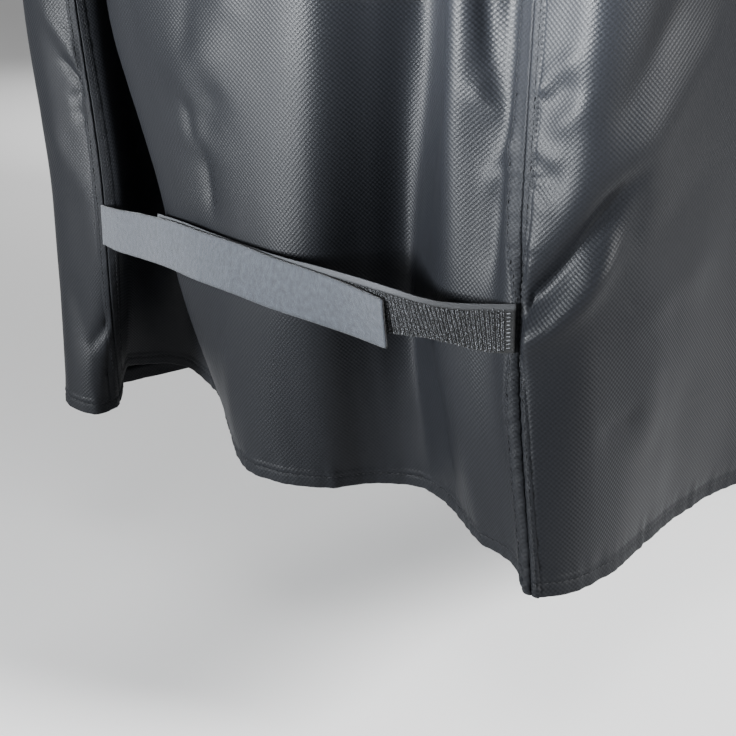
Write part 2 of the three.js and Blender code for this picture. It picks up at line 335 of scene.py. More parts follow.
def bump(tree, height, distance, strength):
    return add_node(tree, "Bump", {"Height": height, "Distance": distance, "Strength": strength})["Normal"]


WEAVE_COLOUR = (0.0055, 0.006, 0.0073)
LOOP_COLOUR = (0.027, 0.031, 0.038)
HOOK_GROUND_COLOUR = (0.009, 0.0094, 0.0102)
HOOK_COLOUR = (0.046, 0.048, 0.052)
THREAD_COLOUR = (0.007, 0.0075, 0.0088)
STRAP_THREAD_COLOUR = (0.065, 0.068, 0.073)
WEAVE_REPEAT = 3.1 * MM
RIB_REPEAT = 0.9 * MM


def coated_weave():
    """Dark coated weave, duller where it lies double and is pressed."""
    material, tree = new_material("coated_weave", 0.47, 0.085)
    place, across, down = cloth_place(tree)
    turns = 2 * math.pi / WEAVE_REPEAT
    warp = math_node(tree, "COSINE", times(tree, across, turns))
    weft = math_node(tree, "COSINE", times(tree, down, turns))
    threads = times(tree, warp, weft)
    slubs = noise(tree, place, 900)
    patches = noise(tree, place, 7, 3)
    double = add_node(tree, "Attribute", {}, attribute_name="double")["Fac"]
    uneven = plus(tree, times(tree, threads, 0.35), ramp(tree, slubs, 0.9, 1.1))
    shade = times(tree, uneven, ramp(tree, patches, 0.93, 1.07))
    feed(tree, tint(tree, WEAVE_COLOUR, shade), "Base Color")
    pressed = ramp(tree, double, 0, 0.15, 0, 1)
    dull = plus(tree, ramp(tree, patches, 0.44, 0.5), pressed)
    feed(tree, plus(tree, dull, times(tree, threads, -0.06)), "Roughness")
    height = plus(tree, threads, times(tree, slubs, 0.6))
    feed(tree, bump(tree, height, 0.13 * MM, 0.6), "Normal")
    return material


def loop_pile():
    """Fuzzy pile in clumps, worn darker at the tape's two edges."""
    material, tree = new_material("loop_pile", 0.95, 0.2, 0.35)
    place, _, down = cloth_place(tree)
    fuzz = noise(tree, place, 1400, 3, 0.65)
    clumps = noise(tree, place, 260)
    shade = times(tree, ramp(tree, fuzz, 0.55, 1.45, 0.25, 0.75), ramp(tree, clumps, 0.78, 1.22))
    edge = ramp(tree, math_node(tree, "ABSOLUTE", down), 1, 0.6, 14.4 * MM, 15.6 * MM)
    feed(tree, tint(tree, LOOP_COLOUR, times(tree, shade, edge)), "Base Color")
    height = plus(tree, fuzz, times(tree, clumps, 1.2))
    feed(tree, bump(tree, height, 0.6 * MM, 0.7), "Normal")
    return material


def hook_ground():
    """Ribbed ground, dark between the hooks, paler on its upper rim and further along, with lint."""
    material, tree = new_material("hook_ground", 0.7, 0.2)
    place, across, down = cloth_place(tree)
    ribs = math_node(tree, "SINE", times(tree, down, 2 * math.pi / RIB_REPEAT))
    speckle = noise(tree, place, 1600)
    shade = plus(tree, times(tree, ribs, 0.15), ramp(tree, speckle, 0.8, 1.25))
    rim = ramp(tree, down, 0.25, 1.8, 11.6 * MM, 13 * MM)
    caught = plus(tree, across, times(tree, speckle, 40 * MM))
    lint = ramp(tree, caught, 1, 3, 70 * MM, 110 * MM)
    feed(tree, tint(tree, HOOK_GROUND_COLOUR, times(tree, times(tree, shade, rim), lint)), "Base Color")
    feed(tree, bump(tree, plus(tree, ribs, speckle), 0.2 * MM, 0.7), "Normal")
    return material


def speckled(name, colour, scale, dark, light, roughness, specular, sheen=0):
    """A finish whose shade goes unevenly from dark to light, for hooks and threads."""
    material, tree = new_material(name, roughness, specular, sheen)
    speckle = noise(tree, object_place(tree), scale, 1)
    feed(tree, tint(tree, colour, ramp(tree, speckle, dark, light, 0.35, 0.65)), "Base Color")
    return material


def hook_nylon():
    return speckled("hook_nylon", HOOK_COLOUR, 700, 0.2, 2, roughness=0.45, specular=0.25)


def thread_finish(name, colour):
    return speckled(name, colour, 2500, 0.75, 1.3, roughness=0.6, specular=0.12, sheen=0.05)


def floor_paint():
    material, tree = new_material("floor_paint", 0.9, 0.1)
    clouds = noise(tree, object_place(tree), 0.6)
    feed(tree, tint(tree, (0.9, 0.9, 0.9), ramp(tree, clouds, 0.98, 1.02)), "Base Color")
    return material


# Cloth on its folds

def unit(vectors):
    return vectors / np.maximum(np.linalg.norm(vectors, axis=-1, keepdims=True), 1e-9)


UP = np.array([0, 0, 1.0])


def round_curve(points, divisions=60):
    """Points along the round curve through a list of points: centripetal, as the solids have it."""
    points = np.array(points, float)
    ends = np.vstack([2 * points[0] - points[1], points, 2 * points[-1] - points[-2]])
    steps = np.sqrt(np.linalg.norm(np.diff(ends, axis=0), axis=1))
    out = []
    for i in range(len(points) - 1):
        p0, p1, p2, p3 = ends[i : i + 4]
        d0, d1, d2 = steps[i : i + 3]
        t1 = ((p1 - p0) / d0 - (p2 - p0) / (d0 + d1) + (p2 - p1) / d1) * d1
        t2 = ((p2 - p1) / d1 - (p3 - p1) / (d1 + d2) + (p3 - p2) / d2) * d1
        t = np.arange(divisions)[:, None] / divisions
        out.append(p1 + t1 * t + (3 * (p2 - p1) - 2 * t1 - t2) * t**2 + (2 * (p1 - p2) + t1 + t2) * t**3)
    out.append(points[-1:])
    return np.vstack(out)


def line_lengths(line):
    return np.concatenate([[0], np.cumsum(np.linalg.norm(np.diff(line, axis=0), axis=1))])


def at_shares(line, values, shares):
    """Values found at equal shares of a line's length."""
    length = line_lengths(line)
    at = shares * length[-1]
    return np.stack([np.interp(at, length, values[:, k]) for k in range(values.shape[1])], -1)


def knot_slopes(at, value):
    """Slopes of a curve that doesn't overshoot between its knots, for each column of knots."""
    step = np.diff(at, axis=0)
    rise = np.diff(value, axis=0) / step
    slope = np.zeros_like(value)
    slope[0] = rise[0] * 0.5
    slope[-1] = rise[-1]
    for k in range(1, len(at) - 1):
        before, after = rise[k - 1], rise[k]
        w1 = 2 * step[k] + step[k - 1]
        w2 = step[k] + 2 * step[k - 1]
        alike = before * after > 0
        safe_before = np.where(alike, before, 1)
        safe_after = np.where(alike, after, 1)
        slope[k] = np.where(alike, (w1 + w2) / (w1 / safe_before + w2 / safe_after), 0)
    return slope


def curve_at(at, value, slope, z):
    """The curve through each column's knots, at the heights in z[row, column]."""
    out = np.zeros_like(z)
    for k in range(len(at) - 1):
        low, high = at[k + 1], at[k]
        here = z <= high if k else np.ones_like(z, bool)
        h = low - high
        t = (z - high) / h
        t2, t3 = t * t, t * t * t
        part = (
            value[k] * (2 * t3 - 3 * t2 + 1)
            + slope[k] * h * (t3 - 2 * t2 + t)
            + value[k + 1] * (3 * t2 - 2 * t3)
            + slope[k + 1] * h * (t3 - t2)
        )
        out = np.where(here, part, out)
    return out


def shares_on(plan, rows, level, shares):
    """Shares of a level's curve for shares of the panel's width, so that the held fold keeps its place."""
    names = [row["name"] for row in rows]
    if HELD_FOLD not in names:
        return shares
    lengths = line_lengths(plan)
    place = names.index(HELD_FOLD) * (len(plan) - 1) // (len(rows) - 1)
    return np.interp(shares, [0, HELD_SHARES[level], 1], [0, lengths[place] / lengths[-1], 1])


def wall_surface(folds, top_start, top_end, shares, heights):
    """The middle of a wall's solid: place[row, column], for heights before the hem is drawn up."""
    rows = [dict(zip(COLUMNS, row)) for row in folds]
    straight = np.array([top_start, top_end], float)
    places = [at_shares(straight, straight, shares)]
    for level in ("high", "strap", "hem"):
        plan = round_curve([[STRAP_PLANE + row[level + "_in"], row[level + "_y"]] for row in rows])
        eased = shares_on(plan, rows, level, shares)
        places.append(at_shares(plan, plan, eased))
    places = np.stack(places)
    fold_number = np.linspace(0, len(rows) - 1, len(plan))
    lifts = np.interp(fold_number, range(len(rows)), [row["lift"] for row in rows])[:, None]
    lift = at_shares(plan, lifts, eased)[:, 0]
    knots = np.stack([np.full(len(shares), level, float) for level in LEVELS])
    knots[2] += lift * STRAP_LIFT_SHARE
    knots[3] += lift
    below = np.minimum(heights - FOLD_HEIGHT, 0)[:, None]
    drop = FOLD_HEIGHT - HEM_HEIGHT
    z = np.maximum(heights, FOLD_HEIGHT)[:, None] + below * (FOLD_HEIGHT - knots[3]) / drop
    x = curve_at(knots, places[..., 0], knot_slopes(knots, places[..., 0]), z)
    y = curve_at(knots, places[..., 1], knot_slopes(knots, places[..., 1]), z)
    return np.stack([x, y, z], -1)


def outward(grid):
    """Normal at each point of a grid whose rows run downwards and columns along the wall."""
    down = np.gradient(grid, axis=0)
    along = np.gradient(grid, axis=1)
    return unit(np.cross(down, along))


def marks(start, stops):
    """Places from start on. Each stop is how far the cells of one size go, and that size."""
    places = [start]
    for end, cell in stops:
        count = max(1, round(abs(end - places[-1]) / cell))
        places += list(np.linspace(places[-1], end, count + 1)[1:])
    return np.array(places, float)


def smooth(value, low, high):
    t = np.clip((value - low) / (high - low), 0, 1)
    return t * t * (3 - 2 * t)


def hump(away, width):
    """A bell-shaped hump: 1 where away is 0, and almost nothing from two widths on."""
    return np.exp(-((away / width) ** 2))


def crease(cloth, width, height, along, down, from_seam=False):
    """A soft ridge, or a trough where height is below 0, along a path of places in the cloth."""
    path = np.array([along, down], float).T * (1, -1)
    lengths = np.linalg.norm(np.diff(path, axis=0), axis=1)
    total = lengths.sum()
    nearest = np.full(cloth.shape[:2], 1e9)
    share = np.zeros(cloth.shape[:2])
    done = 0
    for a, b, length in zip(path[:-1], path[1:], lengths):
        t = np.clip(((cloth - a) @ (b - a)) / length**2, 0, 1)
        gap = np.linalg.norm(cloth - a - t[..., None] * (b - a), axis=-1)
        closer = gap < nearest
        nearest = np.where(closer, gap, nearest)
        share = np.where(closer, (done + t * length) / total, share)
        done += length
    strength = smooth(1 - share, 0, 0.4)
    if not from_seam:
        strength = strength * smooth(share, 0, 0.4)
    return height * strength / np.cosh(nearest / width)


def unevenness(cloth, seed, size, height):
    """Broad shallow waves of the cloth, the same at each run."""
    draw = np.random.default_rng(seed)
    total = np.zeros(cloth.shape[:-1])
    for _ in range(9):
        angle = draw.uniform(0, math.pi)
        wave = size * draw.uniform(0.6, 1.7)
        phase = draw.uniform(0, 2 * math.pi)
        along = cloth[..., 0] * math.cos(angle) + cloth[..., 1] * math.sin(angle) * 0.5
        total += np.sin(2 * math.pi * along / wave + phase)
    return height * total / 3


def turned_edge(edge, into, mitre, first):
    """Points of a panel's edge as it turns into a seam, from deep in the allowance on."""
    away = unit(into - (into * mitre).sum(-1, keepdims=True) * mitre)
    inset = away * (SEAM_GAP / 2 + CLOTH / 2)
    flap = [edge + inset - mitre * depth for depth in TURN_PLACES[:3]]
    knee = edge + inset
    turn = []
    for t in (0.25, 0.5, 0.75):
        turn.append(flap[-1] * (1 - t) ** 2 + knee * 2 * t * (1 - t) + first * t**2)
    return np.stack(flap + turn)


def sheet_mesh(name, middle, cloth, thickness, finish, double=None):
    """A closed thin sheet around a grid of middle points, with its place in the cloth as a UV map.

    double is 1 where the cloth lies double, and becomes the mesh's attribute of that name.
    """
    rows, columns = middle.shape[:2]
    offset = outward(middle) * (thickness / 2)
    points = np.concatenate([(middle + offset).reshape(-1, 3), (middle - offset).reshape(-1, 3)])
    number = np.arange(rows * columns).reshape(rows, columns)
    back = number + rows * columns
    sides = [
        [number[:-1, :-1], number[1:, :-1], number[1:, 1:], number[:-1, 1:]],
        [back[:-1, :-1], back[:-1, 1:], back[1:, 1:], back[1:, :-1]],
        [number[:-1, 0], back[:-1, 0], back[1:, 0], number[1:, 0]],
        [number[:-1, -1], number[1:, -1], back[1:, -1], back[:-1, -1]],
        [number[0, :-1], number[0, 1:], back[0, 1:], back[0, :-1]],
        [number[-1, :-1], back[-1, :-1], back[-1, 1:], number[-1, 1:]],
    ]
    faces = np.concatenate([np.stack(side, -1).reshape(-1, 4) for side in sides])
    piece = new_piece(name, points, faces.tolist(), finish)
    uv = np.tile(cloth.reshape(-1, 2), (2, 1)) * MM
    layer = piece.data.uv_layers.new(name="cloth")
    layer.data.foreach_set("uv", uv[faces.reshape(-1)].reshape(-1).astype(np.float32))
    if double is not None:
        layer = piece.data.attributes.new("double", "FLOAT", "POINT")
        layer.data.foreach_set("value", np.tile(double.reshape(-1), 2).astype(np.float32))
    return piece


def new_piece(name, points, faces, finish):
    """A smooth mesh from points in mm."""
    mesh = bpy.data.meshes.new(name)
    mesh.from_pydata((points * MM).tolist(), [], faces)
    mesh.polygons.foreach_set("use_smooth", np.ones(len(mesh.polygons), bool))
    mesh.materials.append(finish)
    piece = bpy.data.objects.new(name, mesh)
    bpy.context.scene.collection.objects.link(piece)
    return piece


# Sizes of the cells between points, along and across the cloth
FINE = 3
MIDDLING = 11
EDGE_CELL = 0.9
END_CELLS = [(3.3, EDGE_CELL), (8.7, EDGE_CELL), (12, 1.6)]  # how far each size goes from a seam


def wall_rows(stops):
    """Row heights down a wall, close together at its top seam and its hem, with these stops between them."""
    top = [(-19, EDGE_CELL), (-24.5, EDGE_CELL), (-34, 3)]
    hem = [(-996, 0.75), (HEM_HEIGHT + HEM_TURN, 1.2)]
    return marks(TOP_EDGE_HEIGHT - SEAM_GAP - SEAM_TURN, top + stops + hem)


def across_marks(length, stops):
    """Column places along a wall, close together at both seams. The last stop goes on to the far seam."""
    far = [(length - 12, stops[-1][1])] + [(length - end, cell) for end, cell in reversed(END_CELLS[:-1])]
    return marks(SEAM_TURN, END_CELLS + stops[:-1] + far + [(length - SEAM_TURN, EDGE_CELL)])


ROWS = wall_rows([(-610, 11), (-984, FINE)])
COARSE_ROWS = wall_rows([(-984, 8)])
FRONT_STOPS = [(230, FINE), (300, 5), (0, MIDDLING)]
BACK_STOPS = [(WIDTH - 170, MIDDLING), (0, FINE)]

# Main creases, a row for each: its width and height, and its path's places along the wall and down it. It
# fades out at both ends, or only at the last where a True follows, because it starts in a seam.
STRAP_SIDE_CREASES = [
    [3, -1.6, [250, 247, 245, 246], [728, 740, 754, 768]],
    [9, -2, [290, 273, 263, 255], [722, 733, 748, 766]],
    [9, -2.4, [252, 251, 249, 246], [755, 772, 792, 822]],
    [2.5, -1.6, [254, 253, 250, 249], [755, 772, 792, 815]],
    [12, 2.2, [305, 274, 250, 220], [688, 702, 717, 728]],
    [7, -1.6, [263, 264, 258, 247], [610, 660, 690, 722]],
    [10, 2.4, [287, 292, 292, 279], [560, 620, 670, 700]],
    [9, 2, [506, 507, 506, 497, 480], [520, 620, 690, 745, 800]],
    [4.2, -5, [516, 518, 522, 528, 539], [560, 650, 688, 706, 716]],
    [3.4, -4, [532, 531, 531, 533], [560, 640, 672, 694]],
    [5, 2.4, [539, 530, 519, 512], [724, 722, 712, 696]],
    [3, 2.2, [552, 538, 529, 525], [733, 745, 757, 772], True],
    [5, -2.6, [532, 534, 534, 531], [752, 778, 806, 826]],
    [9, 2.2, [257, 250, 242, 238], [862, 900, 945, 1010]],
    [11, 3.2, [409, 403, 396, 389], [872, 905, 945, 1040]],
    [14, -4.5, [467, 455, 445, 438], [862, 900, 940, 1040]],
    [10, 2.6, [511, 506, 499, 495], [860, 905, 950, 1030]],
    [12, -2, [323, 313, 307, 302], [850, 900, 950, 1030]],
    [16, 2.4, [312, 313, 322, 318], [300, 420, 560, 640]],
    [18, -3, [190, 213, 214, 233], [180, 320, 470, 600]],
]

FRONT_CREASES = [
    [4.2, 2, [5, 14, 24, 36], [706, 693, 686, 676], True],
    [4.5, -1.2, [5, 14, 25, 34], [713, 705, 699, 694], True],
    [4.2, 1.8, [8, 18, 28, 42], [722, 722, 715, 702]],
    [3.8, 1.5, [5, 14, 28], [732, 737, 739], True],
    [4, -1.2, [5, 14, 28], [742, 748, 750], True],
    [3.6, 1, [5, 12, 22], [758, 764, 768], True],
    [5, 1.3, [4, 16, 32], [640, 646, 640], True],
    [10, -4.4, [118, 94, 76, 61, 47, 38], [610, 650, 684, 714, 745, 772]],
    [12, 3.2, [150, 122, 97, 73, 52], [640, 680, 708, 734, 764]],
    [5.4, -9.8, [0, 14, 27, 40, 53, 68, 84], [825, 814, 799, 783, 767, 750, 736], True],
    [6.5, 8, [0, 20, 38, 53, 62], [845, 833, 814, 793, 774], True],
    [13, 4.5, [2, 14, 30, 48, 66, 82], [806, 790, 768, 746, 722, 700], True],
    [5, -1.6, [70, 76, 70, 60], [744, 764, 786, 806]],
    [15, 3.4, [176, 140, 104, 80, 62], [806, 812, 822, 838, 862]],
    [14, -2.4, [160, 124, 96, 70], [740, 764, 790, 812]],
    [6, -1.8, [92, 76, 60, 44], [890, 900, 903, 898]],
    [13, 2.4, [98, 99, 101, 98], [838, 870, 905, 940]],
    [18, -2, [150, 140, 146, 150], [860, 910, 960, 1020]],
    [20, 4, [330, 318, 330, 322], [180, 360, 560, 760]],
    [26, -8, [470, 452, 458, 450], [420, 600, 780, 960]],
    [24, 7, [640, 622, 634, 622], [120, 300, 520, 700]],
    [26, -8, [820, 800, 806, 798], [360, 560, 760, 940]],
    [24, 7, [1010, 998, 1010, 1000], [200, 420, 640, 820]],
    [9, -3, [1236, 1212, 1180, 1150], [700, 680, 640, 590], True],
    [9, 2.6, [1236, 1206, 1170, 1132], [724, 708, 676, 640], True],
    [9, 2.4, [30, 70, 104, 120], [60, 130, 220, 340]],
    [9, 2.4, [1210, 1170, 1138, 1120], [60, 130, 220, 340]],
]

PLAIN_SIDE_CREASES = [
    [20, 8, [92, 100, 94, 98], [300, 480, 700, 900]],
    [22, -8, [190, 178, 184, 176], [420, 600, 800, 960]],
    [20, 7, [292, 284, 290, 282], [240, 420, 640, 860]],
    [22, -8, [398, 388, 396, 388], [380, 560, 760, 950]],
    [18, 6, [480, 474, 480, 472], [260, 440, 640, 840]],
    [9, 2.4, [28, 60, 84], [60, 140, 240]],
    [9, 2.4, [531, 499, 475], [60, 140, 240]],
]

BACK_CREASES = [
    [2.6, -2.6, [1238, 1233, 1226, 1215], [741, 732, 725, 715], True],
    [6, 2.6, [1236, 1228, 1214, 1204], [726, 708, 690, 668], True],
    [2.6, -1.6, [1238, 1230, 1218], [744, 745, 750], True],
    [3.5, -1.6, [1222, 1229, 1233], [752, 759, 768]],
    [10, 1.8, [1176, 1196, 1216, 1230], [756, 780, 806, 836]],
    [4, -3, [1236, 1226, 1215, 1206], [922, 931, 940, 946], True],
    [3, 2.2, [1238, 1230, 1221], [930, 937, 946], True],
    [2.4, -2.4, [1236, 1231, 1228, 1228], [938, 950, 970, 1020]],
    [9, -2, [1190, 1198, 1208, 1210], [870, 900, 930, 965]],
    [24, 8, [900, 912, 900, 910], [180, 360, 560, 760]],
    [26, -8, [760, 776, 770, 776], [420, 600, 780, 960]],
    [24, 7, [590, 602, 592, 604], [120, 300, 520, 700]],
    [26, -8, [430, 444, 438, 446], [360, 560, 760, 940]],
    [24, 7, [230, 242, 230, 240], [200, 420, 640, 820]],
    [9, -3, [4, 28, 60, 90], [700, 680, 640, 590], True],
    [9, 2.6, [4, 34, 70, 108], [724, 708, 676, 640], True],
]

# Each wall starts at a corner, given by its signs along X and Y, and ends where the next one starts. The rest
# is as in marks, and as unevenness takes it.
WALL_COLUMNS = ["name", "corner", "folds", "creases", "rows", "stops", "waves"]
WALL_TABLE = [
    ["strap_side", (-1, 1), STRAP_SIDE_FOLDS, STRAP_SIDE_CREASES, ROWS, [(0, FINE)], (3, 150, 0.5)],
    ["front", (-1, -1), FRONT_FOLDS, FRONT_CREASES, ROWS, FRONT_STOPS, (5, 170, 0.8)],
    ["plain_side", (1, -1), PLAIN_SIDE_FOLDS, PLAIN_SIDE_CREASES, COARSE_ROWS, [(0, 7)], (7, 160, 1.2)],
    ["back", (1, 1), BACK_FOLDS, BACK_CREASES, ROWS, BACK_STOPS, (11, 170, 0.8)],
]


def joined_walls():
    """The walls by name, each with its length and what the next one gives it: its end and its last fold."""
    walls = [dict(zip(WALL_COLUMNS, row)) for row in WALL_TABLE]
    for wall, after in zip(walls, walls[1:] + walls[:1]):
        start, end = (np.array(each["corner"]) * (WIDTH / 2, DEPTH / 2) for each in (wall, after))
        wall.update(start=start, end=end, length=math.dist(start, end))
        wall["folds"] = wall["folds"] + after["folds"][:1]
    return {wall["name"]: wall for wall in walls}


WALLS = joined_walls()
ORDER = list(WALLS)


def seam_line(wall, heights, at_end):
    """A wall's seam edge with the wall's direction away from it and its own outward direction there."""
    share = np.array([1 - 3 / wall["length"], 1.0]) if at_end else np.array([0, 3 / wall["length"]])
    pair = wall_surface(wall["folds"], wall["start"], wall["end"], share, heights)
    edge, near = (pair[:, 1], pair[:, 0]) if at_end else (pair[:, 0], pair[:, 1])
    along = pair[:, 1] - pair[:, 0]
    face = np.stack([along[:, 1], -along[:, 0], np.zeros(len(along))], -1)
    return edge, unit(near - edge), unit(face)


# Where the front corner seam is drawn together across its bands, and how far. It swells above each pinch.
PINCHES = [(-612, 1), (-705, 1.3), (-750, 1.5), (-792, 0.9)]
PINCH_WIDTH = 1.9
PINCH_REACH = 16
SWELL_WIDTH = 2.2
SWELL_RISE = 4
SWELL_SHARE = 0.9

# Relief beside the seams: grooves at the stitches, ripples along the bands, and the front corner's slit
GROOVE_WIDTH = 0.8
GROOVE_DEPTH = 0.4
EDGE_GROOVE_DEPTH = 0.5
BAND_RIPPLE = 0.28
BAND_PUCKER = 0.8
SLIT_WIDTH = 2.6
STRAP_PULL = 0.72  # share of the corner bands' width that the strap takes up, and how far up and down
STRAP_PULL_REACH = 34

# Relief along the hem
HEM_RISE = 0.35
HEM_GROOVE_WIDTH = 1.1
HEM_GROOVE_DEPTH = 0.5
HEM_PUCKER = 0.5
HEM_PUCKER_REACH = 26


def at_front_corner(name, at_end):
    return (name, at_end) in (("strap_side", True), ("front", False))


def band_width(name, at_end, heights):
    """How wide a seam's topstitched band lies: drawn in where the strap pulls at the corner."""
    if not at_front_corner(name, at_end):
        return np.full(len(heights), float(BAND))
    whole = WIDE_BAND if name == "strap_side" else NARROW_BAND
    return whole * (1 - STRAP_PULL * hump(heights - STRAP_HEIGHT - 4, STRAP_PULL_REACH))


def band_inside(width, beside):
    """1 in a band of that width beside a seam, and 0 past its edge."""
    return smooth(width - beside, -0.9, 0.4)


def seam_rise(name, at_end, heights):
    """How far a seam stands out, or lies in where the strap drags it into a slit."""
    if not at_front_corner(name, at_end):
        return np.full(len(heights), BAND_RISE)
    return BAND_RISE - (BAND_RISE + SLIT_DEPTH) * smooth(SLIT_TOP - heights, 0, 40)


def ripple(places, seed, wave):
    """Uneven small waves along a line of stitches."""
    draw = np.random.default_rng(seed)
    total = np.zeros_like(places)
    for factor in (0.62, 0.83, 1, 1.37, 1.9):
        total = total + np.sin(2 * math.pi * places / (wave * factor) + draw.uniform(0, 2 * math.pi))
    return total / 3


def seam_relief(name, cloth):
    """The raised bands beside a wall's two seams, with a groove at their stitches, ripples and pinches."""
    across, heights = cloth[..., 0], cloth[..., 1]
    total = np.zeros(cloth.shape[:2])
    for at_end in (False, True):
        beside = WALLS[name]["length"] - across if at_end else across
        width = band_width(name, at_end, heights[:, 0])[:, None]
        inside = band_inside(width, beside)
        groove = GROOVE_DEPTH * hump(beside - width + STITCH_INSET, GROOVE_WIDTH)
        total += BAND_RISE * inside - groove + BAND_RIPPLE * inside * ripple(heights, seed=17, wave=11)
        if at_front_corner(name, at_end):
            sunk = BAND_RISE - seam_rise(name, at_end, heights)
            total -= sunk * hump(beside, SLIT_WIDTH)
            total -= EDGE_GROOVE_DEPTH * hump(beside - width - 1, GROOVE_WIDTH)
            total += BAND_PUCKER * inside * ripple(heights, seed=31, wave=8)
            if name == "strap_side":
                held = 1 - 0.6 * smooth(STRAP_HEIGHT + 60 - heights, 0, 40)
                strip = smooth(beside, 0, WIDE_BAND)
                total += STRIP_RISE * held * strip * smooth(WIDE_BAND + 13 - beside, 0, 12)
            for height, depth in PINCHES:
                reach = smooth(PINCH_REACH - beside, 0, 10) * smooth(beside, 0.4, 2.5)
                total -= depth * reach * hump(heights - height, PINCH_WIDTH)
                total += SWELL_SHARE * depth * reach * hump(heights - height - SWELL_RISE, SWELL_WIDTH)
    return total


def doubled(name, columns, lines):
    """1 where a wall's cloth lies double, in its topstitched bands and its hem."""
    inside = np.repeat(band_inside(HEM_FLAP, lines - HEM_HEIGHT)[:, None], len(columns), axis=1)
    for at_end in (False, True):
        beside = WALLS[name]["length"] - columns if at_end else columns
        width = band_width(name, at_end, lines)[:, None]
        inside = np.maximum(inside, band_inside(width, beside[None, :]))
    return inside


def hem_relief(cloth):
    """The stitched groove along the hem and the puckers that the stitches draw."""
    across, heights = cloth[..., 0], cloth[..., 1]
    groove = hump(heights - HEM_HEIGHT - HEM_STITCH, HEM_GROOVE_WIDTH)
    turned_up = smooth(HEM_HEIGHT + HEM_FLAP + 1.5 - heights, 0, 2)
    near = smooth(-heights, -HEM_HEIGHT - HEM_PUCKER_REACH, -HEM_HEIGHT - 8)
    puckers = HEM_PUCKER * ripple(across, seed=23, wave=15) + HEM_PUCKER * ripple(across, seed=29, wave=46)
    return HEM_RISE * turned_up - HEM_GROOVE_DEPTH * groove + near * puckers


def seam_flap(name, at_end, first):
    """A wall's edge as it turns into one of its seams, mitred against the neighbouring wall."""
    wall = WALLS[name]
    heights = wall["rows"]
    neighbour = WALLS[ORDER[(ORDER.index(name) + (1 if at_end else -1)) % len(ORDER)]]
    edge, way, face = seam_line(wall, heights, at_end)
    mitre = unit(face + seam_line(neighbour, heights, not at_end)[2])
    rise = seam_rise(name, at_end, heights)[:, None] * mitre
    return np.moveaxis(turned_edge(edge + rise, way, mitre, first), 0, 1)


def make_wall(name, finish):
    wall = WALLS[name]
    heights = wall["rows"]
    across = across_marks(wall["length"], wall["stops"])
    middle = wall_surface(wall["folds"], wall["start"], wall["end"], across / wall["length"], heights)
    cloth = np.stack(np.meshgrid(across, heights), -1)
    normal = outward(middle)
    beside = np.minimum(across, wall["length"] - across)[None, :]
    below = -heights[:, None]
    relief = unevenness(cloth, *wall["waves"]) * smooth(beside, 4, 40) * smooth(below, 20, 60)
    drawn = sum(crease(cloth, *row) for row in wall["creases"])
    relief += drawn * smooth(beside, 1.5, BAND + 1)
    relief += seam_relief(name, cloth) + hem_relief(cloth)
    middle = middle + normal * relief[..., None]
    first = seam_flap(name, False, middle[:, 0])
    last = seam_flap(name, True, middle[:, -1])
    columns = np.concatenate([-TURN_PLACES, across, wall["length"] + TURN_PLACES[::-1]])
    middle = np.concatenate([first, middle, last[:, ::-1]], axis=1)
    middle, lines = add_top_allowance(middle, heights)
    middle, lines = add_hem(middle, lines)
    cloth = np.stack(np.meshgrid(columns, lines), -1)
    wall["columns"], wall["lines"], wall["face"] = columns, lines, middle + outward(middle) * CLOTH / 2
    return sheet_mesh(name + "_cloth", middle, cloth, CLOTH, finish, doubled(name, columns, lines))


def add_top_allowance(middle, heights):
    """The wall's upper edge turned in between the wall and the top panel."""
    face = outward(middle)[0]
    mitre = unit(face + UP)
    edge = middle[0] + UP * SEAM_TURN
    flap = turned_edge(edge, np.broadcast_to(-UP, edge.shape), mitre, middle[0])
    lines = np.concatenate([heights[0] + SEAM_TURN + TURN_PLACES, heights])
    return np.concatenate([flap, middle]), lines


def add_hem(middle, lines):
    """The wall's lower edge turned inwards and up, as a maker hems it."""
    face = outward(middle)[-1]
    down = unit(middle[-1] - middle[-3])
    centre = middle[-1] - face * HEM_TURN
    rows = []
    depth = []
    for degrees in (45, 90, 135, 180):
        turn = math.radians(degrees)
        rows.append(centre + HEM_TURN * (face * math.cos(turn) + down * math.sin(turn)))
        depth.append(HEM_TURN * turn)
    for rise in (2, 5, 8, HEM_FLAP):
        rows.append(rows[3] - down * rise)
        depth.append(depth[3] + rise)
    return np.concatenate([middle, np.stack(rows)]), np.concatenate([lines, lines[-1] - np.array(depth)])


def top_height(x, y):
    """Height of the top's middle: crowned, uneven, and raised along the bands at its edges."""
    rise = (1 - (2 * x / WIDTH) ** 4) * (1 - (2 * y / DEPTH) ** 4)
    inside = np.minimum(WIDTH / 2 - np.abs(x), DEPTH / 2 - np.abs(y))
    waves = unevenness(np.stack([x, y], -1), 13, 260, 1.2) * smooth(inside, 4, 60)
    groove = 0.45 * hump(inside - BAND + STITCH_INSET, 0.9)
    return TOP_EDGE_HEIGHT * (1 - rise) + 1 + waves + (band_inside(BAND, inside) - groove) * BAND_RISE


def top_marks(half):
    """Places from one seam of the top to the other, close together in its bands."""
    return marks(-half + SEAM_TURN, [(-half + 12, 1.2), (half - 12, 12), (half - SEAM_TURN, 1.2)])


